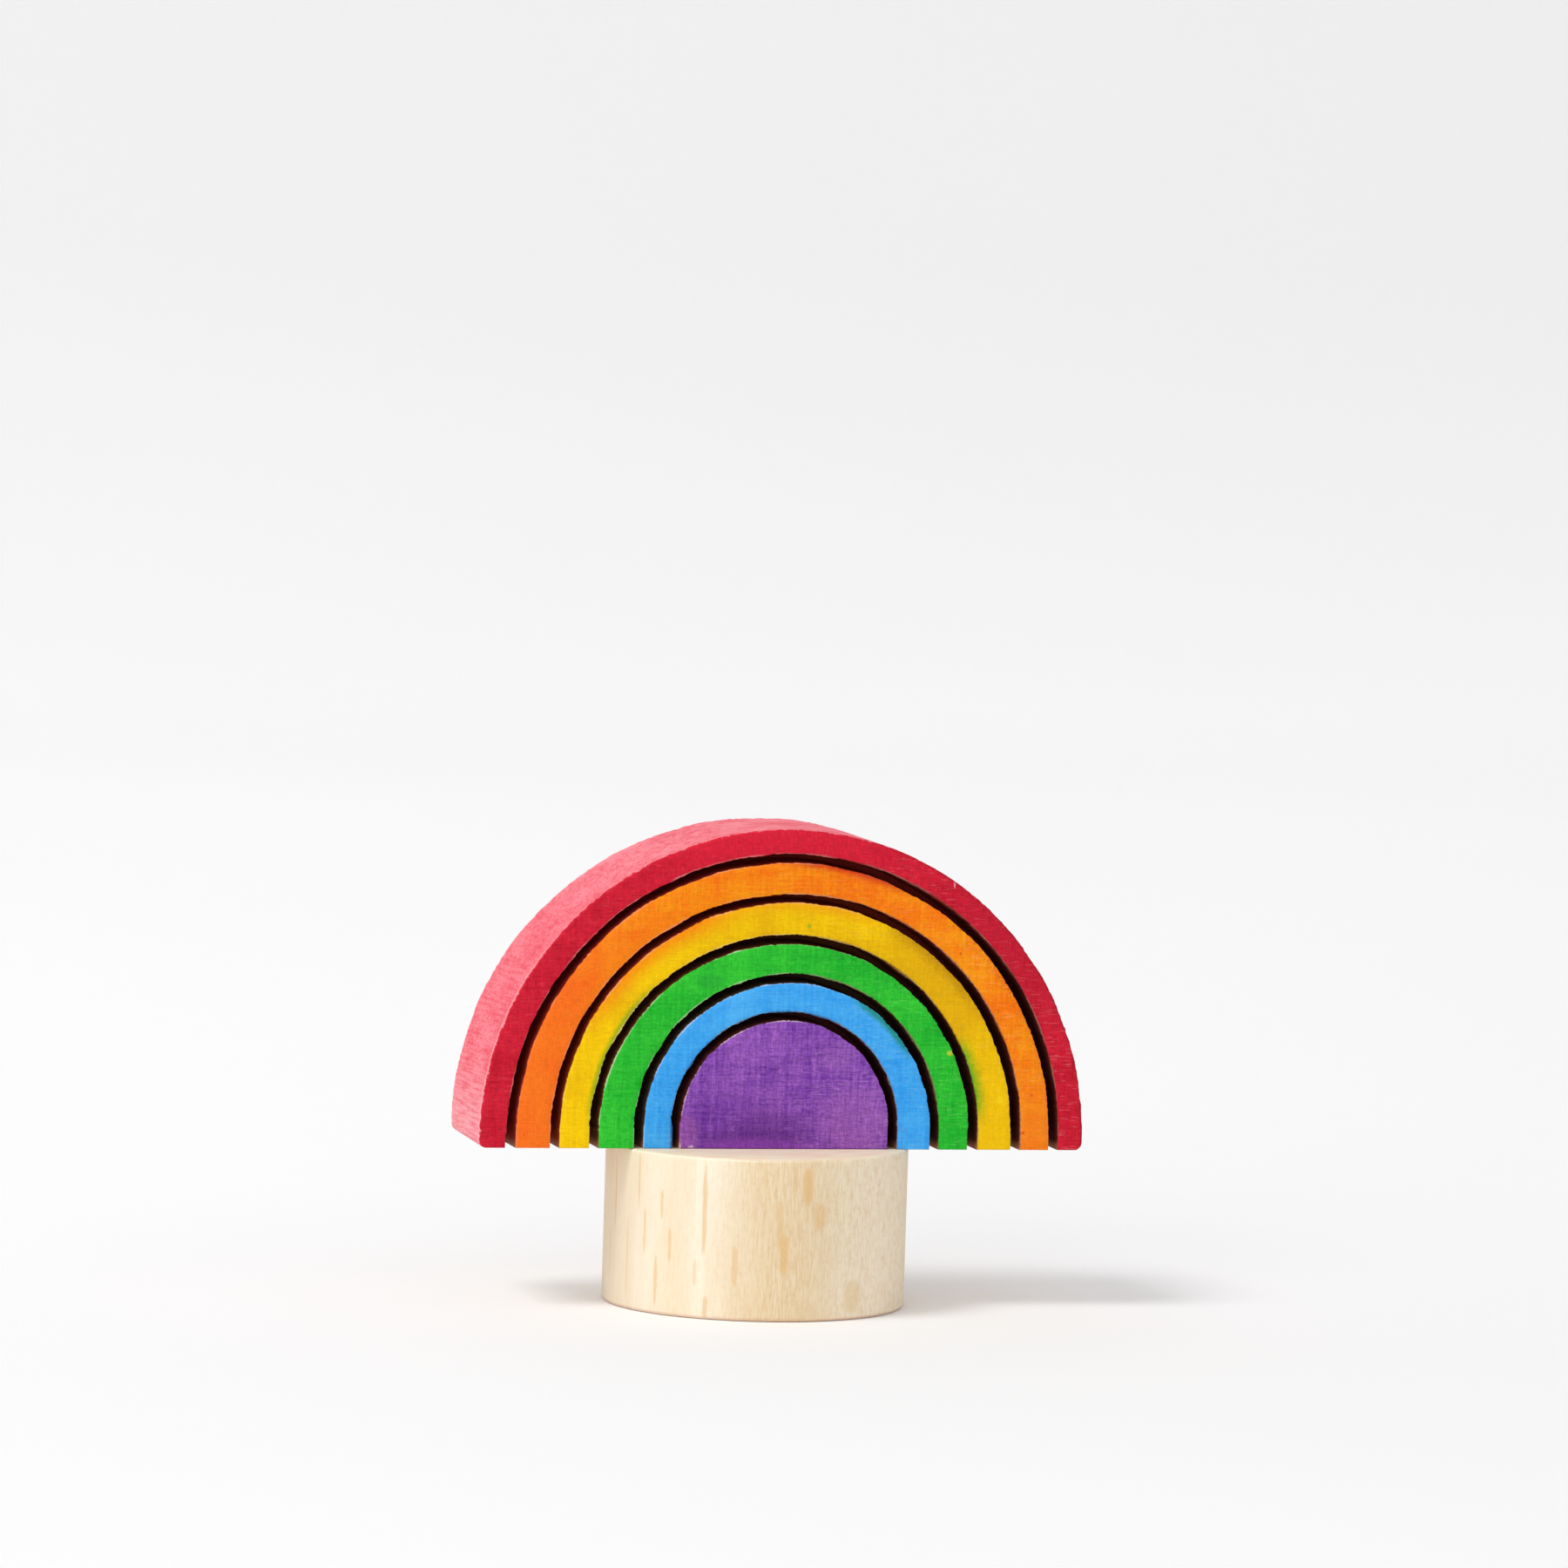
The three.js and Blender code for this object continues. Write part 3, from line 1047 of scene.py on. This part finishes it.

# %% [markdown]
# ### Edges of the grooves
# The groove edges are pale, partly worn by handling and partly a painted highlight, strongest at the left
# where the lamp catches them. The beam left a brown haze on their outer sides, which in the blue band
# looks dark blue. A wear mask from the mesh's curvature would mark every edge alike. Here the distance to
# each groove is measured, with its own shift and lift, and the angle decides the rest.

# %% Edges of the grooves
WEAR_HIGHLIGHT_RAGGED = 0.1
WEAR_HIGHLIGHT_PALENESS = 0.55
WEAR_HIGHLIGHT_LEFT = (50, 100)
WEAR_HIGHLIGHT_RIGHT = (100, 50)
WEAR_HIGHLIGHT_RIGHT_SHARE = 0.5
OUTER_SIDE = 0.3
HAZE_REACH = 0.2
HAZE_FADE = ("smoke", 1.1 * HAZE_REACH, 0.3 * HAZE_REACH)
BLUE_BAND = 1
EDGE_WASHES = (
    # tone, share, masks
    ("worn_tone", 1.0, ("edge", 0.13, 0.06), ("patches", 0.38, 0.58), "worn_share"),
    ((86, 50, 30), 0.85, HAZE_FADE, ("Degrees", 100, 60)),
    ((18, 46, 112), 0.7, HAZE_FADE, ("Degrees", 60, 100), "in_blue"),
)


def groove_places(wiring, x, z):
    """How far a point lies from the nearest groove, and how far beyond the groove on its inner side."""
    nearest = board_radius
    beyond = 2 * board_radius
    for radius, shift, lift in zip(groove_radii, CENTRE_SHIFTS, CENTRE_LIFTS):
        rise = wiring.math("MAXIMUM", wiring.minus(z, leg_at(radius) + lift), 0.0)
        reach = wiring.length(wiring.minus(x, shift), rise)
        from_middle = wiring.minus(reach, radius + GROOVE_WIDTH / 2)
        away = wiring.minus(wiring.math("ABSOLUTE", from_middle), GROOVE_WIDTH / 2)
        inside = wiring.math("LESS_THAN", from_middle, 0.0)
        outside = wiring.add(away, wiring.times(inside, board_radius))
        nearest = wiring.math("MINIMUM", nearest, away)
        beyond = wiring.math("MINIMUM", beyond, outside)
    return nearest, beyond


def add_edge_marks(wiring, colour, at):
    """Pale groove edges, partly worn and partly a painted highlight, then a haze: brown at the right,
    dark blue in the blue band.
    """
    at["edge"] = wiring.add(at["away"], wiring.times(at["ragged"], WEAR_HIGHLIGHT_RAGGED))
    at["smoke"] = wiring.add(at["beyond"], wiring.times(at["ragged"], HAZE_REACH))
    # pale groove edges: partly wear, partly a painted highlight that is strongest at the left, where the
    # lamp catches them
    left = wiring.times(band_share(wiring, at, EDGE_WEAR_AND_HIGHLIGHT), wiring.step(at["Degrees"], *WEAR_HIGHLIGHT_LEFT))
    outer = wiring.times(wiring.math("LESS_THAN", at["beyond"], OUTER_SIDE), WEAR_HIGHLIGHT_RIGHT_SHARE)
    right = wiring.times(outer, wiring.step(at["Degrees"], *WEAR_HIGHLIGHT_RIGHT))
    at["worn_share"] = wiring.add(left, right)
    at["worn_tone"] = wiring.mix(WEAR_HIGHLIGHT_PALENESS, colour, PALE_FIBRE)
    at["in_blue"] = only_band(wiring, at, BLUE_BAND)
    return add_washes(wiring, colour, at, EDGE_WASHES)


print("haze reaches", HAZE_REACH, "mm from a groove")

# %% [markdown]
# ### Char in the grooves
# The beam chars the groove walls dark brown, with a hint of the stain beside them. Painted shade makes
# them darkest at the right, where the walls turn from the lamp, and painted bounce light from the floor
# makes them paler at the feet. Black paint would be simpler, but it would look drawn. The charring is a
# ramp over the arch radius, with one tone for each groove.

# %% Char in the grooves
SCORCHES = ((104, 52, 50), (84, 64, 46), (112, 62, 32), (156, 58, 34), (156, 48, 38))
BAND_MIDDLES = [groove_radii[k] + GROOVE_WIDTH + BAND_WIDTHS[k] / 2 for k in GROOVES]
GROOVE_MASKS = (
    ("away", 0.3, 0.2),
    ("depth", 0.03, 0.14),
    ("depth", GROOVE_DEPTH + 0.2, GROOVE_DEPTH + 0.1),
)
CHAR_SHADE_AND_BOUNCE = (
    # tone, share, masks
    # painted shade: darker at the right, where the groove walls turn from the lamp
    ((58, 22, 18), 0.8, ("Degrees", 75, 25)),
    # painted bounce light: paler near the feet, where light from the floor reaches the walls
    ((160, 108, 84), 1.0, ("z", 0.7, 0.0)),
)


def groove_char_with_painted_light(wiring, at):
    """The charred tone of each groove, with painted shade at the right and painted bounce light at the
    feet.
    """
    tones = [srgb(*tone) for tone in SCORCHES]
    char = ring_ramp(wiring, at, [0.0] + BAND_MIDDLES[:-1], tones)
    return add_washes(wiring, char, at, CHAR_SHADE_AND_BOUNCE)


print(len(SCORCHES), "scorched grooves")

# %% [markdown]
# ### Rim
# The rim is end grain at the feet: it drank thin red stain in fine lines that run across the thickness.
# On top it is long grain and more even. A second material on the rim's faces would end in a hard line,
# so the rim is one more colour of the same material. Its front edge is pale at the left, partly worn and
# partly a painted highlight where the lamp catches it.

# %% Rim
RIM_THIN = srgb(253, 150, 160)
RIM_RED = (238, 80, 100)
RIM_PALE = (252, 180, 186)
RING_TILT = 0.035
RING_NOISE = ((5.2, 0.25, 0.0), 2.0, 0.6)
RING_WEIGHTS = (0.15, 0.9)
LEFT_END_GRAIN = (125, 165)
RIGHT_END_GRAIN = (55, 15)
RIM_LAYERS = (("rim_soak", 0.5), ("Speckle", 0.3), ("Streak", 0.5), ("rim_lint", 0.7))
RIM_SOFTNESS = 0.25
PALE_LINES = (0.62, 0.38)
PALE_LINE_SHARES = (0.25, 0.65)
RIM_WASHES = (
    # tone, share, masks
    (RIM_RED, 0.25, *window(128, 180)),
    (RIM_PALE, 1.0, ("z", 6.5, 0.5), "pale_lines"),
    # partly wear, partly a painted highlight on the left front edge, where the lamp catches it
    (RIM_PALE, 0.5, ("inward", 0.1, 0.2), ("inward", 0.7, 0.3), ("Degrees", 110, 170)),
)


def rim_colour(wiring, at):
    """Thin red stain: fine lines across the thickness on the end grain, long grain on top."""
    ring = wiring.add(at["z"], wiring.times(at["y"], RING_TILT))
    at["rings"] = wiring.noise(wiring.joined(ring, at["y"], 0.0), *RING_NOISE)
    left = wiring.step(at["Degrees"], *LEFT_END_GRAIN)
    right = wiring.step(at["Degrees"], *RIGHT_END_GRAIN)
    ring_weight = wiring.spread(wiring.math("MAXIMUM", left, right), *RING_WEIGHTS)
    at["pale_lines"] = wiring.spread(wiring.step(at["rings"], *PALE_LINES), *PALE_LINE_SHARES)
    deep = density(wiring, at, (*RIM_LAYERS, ("rings", ring_weight)), RIM_SOFTNESS)
    return add_washes(wiring, wiring.mix(deep, RIM_THIN, srgb(*RIM_RED)), at, RIM_WASHES)


print("rim lines tilt by", RING_TILT, "mm in each mm of thickness")

# %% [markdown]
# ### The board's material
# All of it comes together here, in this order: stain, tints, creeping stain, soot, drops and a glue smear
# with a painted sheen, weave, worn edges with a painted highlight, then painted shade along the right
# outer edge, the rim, the bare underside and the charring with its painted shade and bounce light.
# It could be several materials on several faces, but in one material a colour can run over an edge.

# %% Board material
UNDERSIDE = srgb(226, 192, 156)
UNDERSIDE_STREAK = 0.5
BORDER_MIDDLE = 0.35
BORDER_RAGGED = 0.4
FACE_WASHES = (
    # tone, share, masks
    # painted shade: a dark red line along the right outer edge, where the eased edge turns from the lamp
    ((120, 16, 34), 0.5, ("Radius", board_radius - 0.2, board_radius - 0.06), ("Degrees", 100, 60)),
    ("rim", 1.0, ("Radius", board_radius - 0.6, board_radius - 0.4), ("inward", 0.12, 0.22)),
    ("bare", 1.0, ("z", 0.07, 0.02), ("inward", 0.2, 0.6)),
    ("char", 1.0, "in_groove"),
)
BOARD_ROUGHNESS = (0.52, 0.74)
CHAR_ROUGHNESS = 0.9
BOARD_GLOSS = 0.1
BOARD_BUMP = (0.4, 0.04)
WEFT_HEIGHT = 0.3


def board_places(wiring, place):
    """What the stain needs to know of a point of the board."""
    local = wiring.vector("ADD", place, tuple(-board_centre))
    at = dict(zip("xyz", wiring.parts(local)))
    at.update(wiring.noises(local, BOARD_NOISES))
    at.update(wiring.group(arch_place, local))
    at.update(wiring.group(wood_figure, local))
    at["depth"] = wiring.minus(board_size.y / 2, wiring.math("ABSOLUTE", at["y"]))
    at["away"], at["beyond"] = groove_places(wiring, at["x"], at["z"])
    stray = wiring.times(wiring.minus(at["ragged"], BORDER_MIDDLE), BORDER_RAGGED)
    at["inward"] = wiring.add(at["depth"], stray)
    at["in_groove"] = masked(wiring, at, 1.0, GROOVE_MASKS)
    return at


def make_board_material():
    """The stained, scorched and worn wood of the board."""
    material, wiring, shader, place = new_material("stained_board")
    at = board_places(wiring, place)
    colour = stain_colour(wiring, at)
    colour = add_tints(wiring, colour, at)
    colour = add_strays(wiring, colour, at, BLEEDS)
    colour = add_strays(wiring, colour, at, SOOT, SOOT_GRAIN)
    behind = wiring.math("GREATER_THAN", at["y"], 0.0)
    front_x = wiring.add(at["x"], wiring.times(behind, BACK_SHIFT))
    colour = add_spots(wiring, colour, front_x, at["z"], at["ragged"], SPOTS)
    colour = add_weave(wiring, colour, at)
    colour = add_edge_marks(wiring, colour, at)
    at["rim"] = rim_colour(wiring, at)
    at["bare"] = wiring.mix(wiring.times(at["Streak"], UNDERSIDE_STREAK), UNDERSIDE, PALE_FIBRE)
    at["char"] = groove_char_with_painted_light(wiring, at)
    colour = add_washes(wiring, colour, at, FACE_WASHES)
    rough = wiring.spread(at["Streak"], *BOARD_ROUGHNESS)
    rough = wiring.math("MAXIMUM", rough, wiring.times(at["in_groove"], CHAR_ROUGHNESS))
    height = wiring.add(at["Height"], wiring.times(at["weft"], WEFT_HEIGHT))
    finish_wood(wiring, shader, colour, rough, BOARD_GLOSS, height, *BOARD_BUMP)
    return material


stained_board.data.materials.append(make_board_material())
print("board material has", len(stained_board.data.materials[0].node_tree.nodes), "nodes")

# %% [markdown]
# ## Flecks of the plug
# The plug is bare: cream wood with golden brown flecks that stand upright, because the rod's grain runs
# along its length. Noise could place all of them, but the front ones are easy to recognise. So those
# have set places here, and noise makes the ones at the back.

# %% Flecks of the plug
FLECK = (230, 186, 118)
PALE_FLECK = (230, 198, 142)
FLECKS = (
    # millimetres around the plug from its front, height, half width, half length, colour, strength
    (-14.6, 3.6, 0.12, 1.8, FLECK, 0.35),
    (-13.8, 7.8, 0.14, 2.8, FLECK, 0.50),
    (-12.1, 3.4, 0.12, 3.0, FLECK, 0.40),
    (-10.9, 8.6, 0.12, 2.2, FLECK, 0.50),
    (-10.3, 5.4, 0.14, 1.7, FLECK, 0.50),
    (-9.2, 2.3, 0.20, 1.9, FLECK, 0.50),
    (-8.8, 7.3, 0.16, 1.1, FLECK, 0.50),
    (-8.1, 4.7, 0.16, 1.3, FLECK, 0.50),
    (-6.2, 3.0, 0.16, 1.0, FLECK, 0.40),
    (-5.6, 7.3, 0.22, 3.3, FLECK, 0.55),
    (-5.4, 0.8, 0.24, 0.8, FLECK, 0.50),
    (-3.5, 3.6, 0.26, 1.5, FLECK, 0.45),
    (-0.6, 6.4, 0.26, 1.8, FLECK, 0.40),
    (-0.3, 4.4, 0.36, 1.6, FLECK, 0.60),
    (0.3, 9.2, 0.20, 1.2, FLECK, 0.35),
    (1.2, 8.9, 0.46, 1.4, FLECK, 0.65),
    (2.1, 6.9, 0.54, 1.0, FLECK, 0.45),
    (4.8, 1.6, 0.95, 1.2, PALE_FLECK, 0.45),
)
print(len(FLECKS), "flecks stand at the front")

# %% [markdown]
# ### Upright grain
# In a rod the grain stands upright, and the rays run across it in one direction. We turn the position
# so that its X runs up the rod, and unroll the skin of the rod for the finest fibres. A flat texture
# wrapped around the rod would show a seam.

# %% Upright grain
ROD_NOISES = {
    # waves to the millimetre along, into and across the grain, then detail and roughness
    "ragged": ((1.0, 3.0, 3.0), 2.0, 0.6),
    "soft": ((0.07, 0.25, 0.5), 2.0),
    "thread": ((0.2, 1.1, 4.6), 0.0),
    "saw": ((0.0, 0.3, 2.2), 3.0, 0.65),
}
SKIN_NOISES = {
    # waves to the millimetre along the rod and around it, then detail and roughness
    "lines": ((0.12, 4.0, 0.0), 2.0, 0.6),
    "hairs": ((0.9, 8.0, 0.0), 1.0),
}
ROD_FIGURE_SCALE = (0.6, 0.7, 0.8)
RAY_TURN = math.radians(27)
TOP_RAGGED = 0.2


def rod_places(wiring, place, radius, low, high):
    """What the bare wood needs to know of a point of a rod."""
    x, y, up = wiring.parts(place)
    turned_place = wiring.node("ShaderNodeVectorRotate", rotation_type="Z_AXIS")
    turned_place.inputs["Angle"].default_value = -RAY_TURN
    wiring.put(turned_place.inputs["Vector"], place)
    ray, across, along = wiring.parts(turned_place.outputs[0])
    grain = wiring.joined(along, ray, across)
    angle = wiring.math("ARCTAN2", x, wiring.times(y, -1.0))
    at = {"x": x, "up": up, "around": wiring.times(angle, radius)}
    at.update(wiring.noises(grain, ROD_NOISES))
    at.update(wiring.noises(wiring.joined(along, at["around"], 0.0), SKIN_NOISES))
    at.update(wiring.group(wood_figure, wiring.vector("MULTIPLY", grain, ROD_FIGURE_SCALE)))
    at["turned_away"] = wiring.math("ABSOLUTE", wiring.times(angle, 180 / math.pi))
    at["above_foot"] = wiring.minus(up, low)
    ragged_up = wiring.add(up, wiring.times(at["ragged"], TOP_RAGGED))
    at["below_top"] = wiring.minus(high, ragged_up)
    at["facing_up"] = wiring.parts(wiring.node("ShaderNodeNewGeometry").outputs["Normal"])[2]
    return at


print("rays are turned by", round(math.degrees(RAY_TURN)), "degrees")

# %% [markdown]
# ### Bare wood of the plug and the pin
# The plug's wood is yellower in the middle of its front and paler at the right. Short fine fibres, pale
# and dark, cover it. Its foot is a little pink and its sawn top is end grain. A painted highlight runs
# along its top edge at the left, where the lamp falls, and painted shade darkens its far left, under the
# board's wing. One brush could paint all that on a texture, but washes over the grain stay sharp at any
# distance.
# The hidden pin is the same kind of wood and keeps its packed solid, so only its material changes.

# %% Plug and pin material
FINE_FIBRE = (220, 184, 132)
# a pale tone for fibres, and for the painted highlight along the top edge
PALE_HAIR_AND_HIGHLIGHT = (255, 245, 224)
SOFT_EDGES = (0.3, 0.7)
ROD_WASHES = (
    # tone, share, masks
    ((232, 204, 158), 0.75, ("x", -5.5, -1.5), ("x", 5.5, 1.0)),
    ((255, 240, 217), 1.0, ("x", 2.5, 7.0)),
    ("dark", 0.3, ("Streak", 0.4, 0.7)),
    ("dark", 0.22, ("lines", 0.42, 0.66)),
    (FINE_FIBRE, 1.0, ("hairs", 0.45, 0.72), "hair_share"),
    (PALE_HAIR_AND_HIGHLIGHT, 1.0, ("hairs", 0.55, 0.3), "hair_share"),
    (PALE_HAIR_AND_HIGHLIGHT, 0.15, "Fibre"),
    (FINE_FIBRE, 1.2, ("Speckle", 0.45, 0.75), "hair_share"),
    # painted shade: darker at the far left of the plug, under the board's left wing
    ((226, 208, 186), 0.35, ("x", -7.5, -9.8)),
    ("fleck", 0.5, ("thread", 0.62, 0.80), ("turned_away", 75.0, 105.0)),
)
END_WASHES = (
    ((226, 176, 156), 0.4, ("above_foot", 0.3, 0.1)),
    # painted highlight along the top edge, strongest at the left where the lamp falls
    (PALE_HAIR_AND_HIGHLIGHT, 0.6, ("below_top", 0.15, 0.0), ("x", 2.0, -5.0)),
    ("sawn", 1.0, ("facing_up", 0.8, 0.95)),
)
SAWN_TOP = srgb(255, 243, 216)
SAW_WASHES = [((252, 219, 188), 0.85, ("saw", 0.34, 0.70))]
HAIR_SIDE = (-7.0, -1.0)
HAIR_SHARES = (0.08, 0.24)
HAIR_PATCHES = (0.4, 1.6)
TORN_BY_HAIRS = 1.6
ROD_ROUGHNESS = (0.6, 0.78)
ROD_GLOSS = 0.12
ROD_BUMP = (0.3, 0.03)
PLUG_TONES = (srgb(255, 243, 222), srgb(246, 229, 199), srgb(224, 170, 108))
PIN_TONES = (srgb(240, 218, 184), srgb(228, 200, 160), srgb(196, 148, 100))


def make_rod_material(name, tones, *rod):
    """Bare wood with upright grain, for a rod of this radius between two heights."""
    material, wiring, shader, place = new_material(name)
    at = rod_places(wiring, place, *rod)
    light, at["dark"], at["fleck"] = tones
    hair_share = wiring.spread(wiring.step(at["x"], *HAIR_SIDE), *HAIR_SHARES)
    at["hair_share"] = wiring.times(hair_share, wiring.spread(at["soft"], *HAIR_PATCHES))
    at["sawn"] = add_washes(wiring, SAWN_TOP, at, SAW_WASHES)
    torn = wiring.add(at["ragged"], wiring.times(wiring.minus(at["hairs"], 0.5), TORN_BY_HAIRS))
    colour = wiring.mix(wiring.step(at["soft"], *SOFT_EDGES), light, at["dark"])
    colour = add_washes(wiring, colour, at, ROD_WASHES)
    colour = add_spots(wiring, colour, at["around"], at["up"], torn, FLECKS, True)
    colour = add_washes(wiring, colour, at, END_WASHES)
    rough = wiring.spread(at["Streak"], *ROD_ROUGHNESS)
    finish_wood(wiring, shader, colour, rough, ROD_GLOSS, at["Height"], *ROD_BUMP)
    return material


plug_wood = make_rod_material("plug_wood", PLUG_TONES, plug_radius, 0.0, plug_height)
turned_plug.data.materials.append(plug_wood)
pin_wood = make_rod_material("pin_wood", PIN_TONES, PIN_RADIUS, pin_low.z / MM, pin_high.z / MM)
pin_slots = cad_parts["joint_pin"].data.materials
pin_slots.clear()
pin_slots.append(pin_wood)
print("plug material has", len(plug_wood.node_tree.nodes), "nodes")

# %% [markdown]
# ## Hand the pieces to the frame
# Each new piece stands for its solid and rides on the one body of this part, and the solid it stands
# for is hidden. It could be parented by hand, but a helper does it for both pieces.

# %% Ride and hide
PIECES = (
    (stained_board, "rainbow_board", "stained_board"),
    (turned_plug, "base_dowel", "bare_wood"),
)
for piece, node, slot in PIECES:
    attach(piece, "root")
    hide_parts(node)
